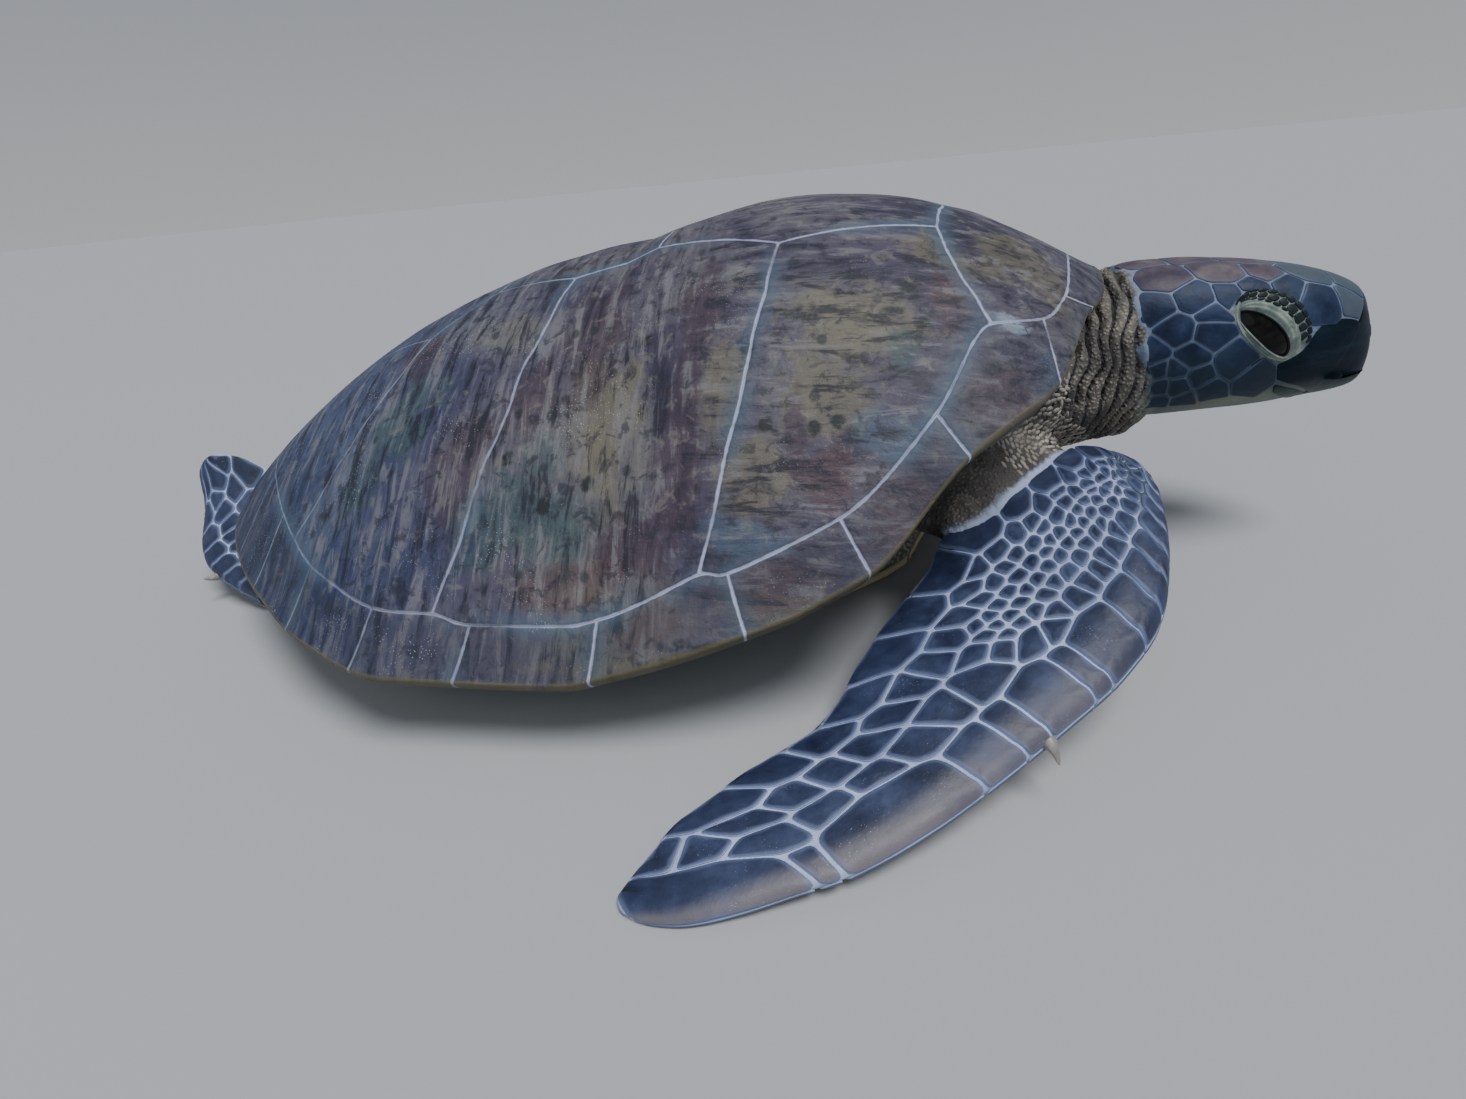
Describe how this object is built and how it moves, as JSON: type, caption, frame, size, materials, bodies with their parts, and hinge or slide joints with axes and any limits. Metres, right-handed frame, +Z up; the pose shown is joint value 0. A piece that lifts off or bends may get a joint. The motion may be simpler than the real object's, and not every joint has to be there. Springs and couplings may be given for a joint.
{
  "type": "green sea turtle, life-size still model",
  "caption": "Life-size still model of a young green sea turtle resting on its plastron, its fore flippers swept back along the shell.",
  "frame": {"origin": "on the floor, on the flat underside of the plastron, under the middle of the shell's length", "axes": "+X towards the head, +Y to the turtle's left, +Z up"},
  "size_m": [0.8878, 0.7145, 0.2423],
  "materials": {
    "carapace": "satin horn, mottled mauve-brown and olive-grey",
    "plastron": "smooth pale cream horn",
    "skin": "wrinkled grey-beige skin",
    "scaled_skin": "slate-blue scales in pale skin",
    "beak": "dark smooth horn",
    "eye": "wet, nearly black",
    "claw": "pale horn"
  },
  "bodies": {
    "root": {"trunk": "skin", "nuchal": "carapace", "vertebral_1": "carapace", "vertebral_2": "carapace", "vertebral_3": "carapace", "vertebral_4": "carapace", "vertebral_5": "carapace", "costal_left_1": "carapace", "costal_left_2": "carapace", "costal_left_3": "carapace", "costal_left_4": "carapace", "marginal_left_1": "carapace", "marginal_left_2": "carapace", "marginal_left_3": "carapace", "marginal_left_4": "carapace", "marginal_left_5": "carapace", "marginal_left_6": "carapace", "marginal_left_7": "carapace", "marginal_left_8": "carapace", "marginal_left_9": "carapace", "marginal_left_10": "carapace", "marginal_left_11": "carapace", "marginal_left_12": "carapace", "costal_right_1": "carapace", "costal_right_2": "carapace", "costal_right_3": "carapace", "costal_right_4": "carapace", "marginal_right_1": "carapace", "marginal_right_2": "carapace", "marginal_right_3": "carapace", "marginal_right_4": "carapace", "marginal_right_5": "carapace", "marginal_right_6": "carapace", "marginal_right_7": "carapace", "marginal_right_8": "carapace", "marginal_right_9": "carapace", "marginal_right_10": "carapace", "marginal_right_11": "carapace", "marginal_right_12": "carapace", "plastron": "plastron", "head": "scaled_skin", "upper_beak": "beak", "lower_beak": "beak", "eye_left": "eye", "eye_right": "eye", "neck": "skin", "tail": "skin", "upper_arm_left": "skin", "fore_flipper_left": "scaled_skin", "fore_claw_left": "claw", "thigh_left": "skin", "hind_flipper_left": "scaled_skin", "hind_claw_left": "claw", "upper_arm_right": "skin", "fore_flipper_right": "scaled_skin", "fore_claw_right": "claw", "thigh_right": "skin", "hind_flipper_right": "scaled_skin", "hind_claw_right": "claw"}
  },
  "joints": []
}
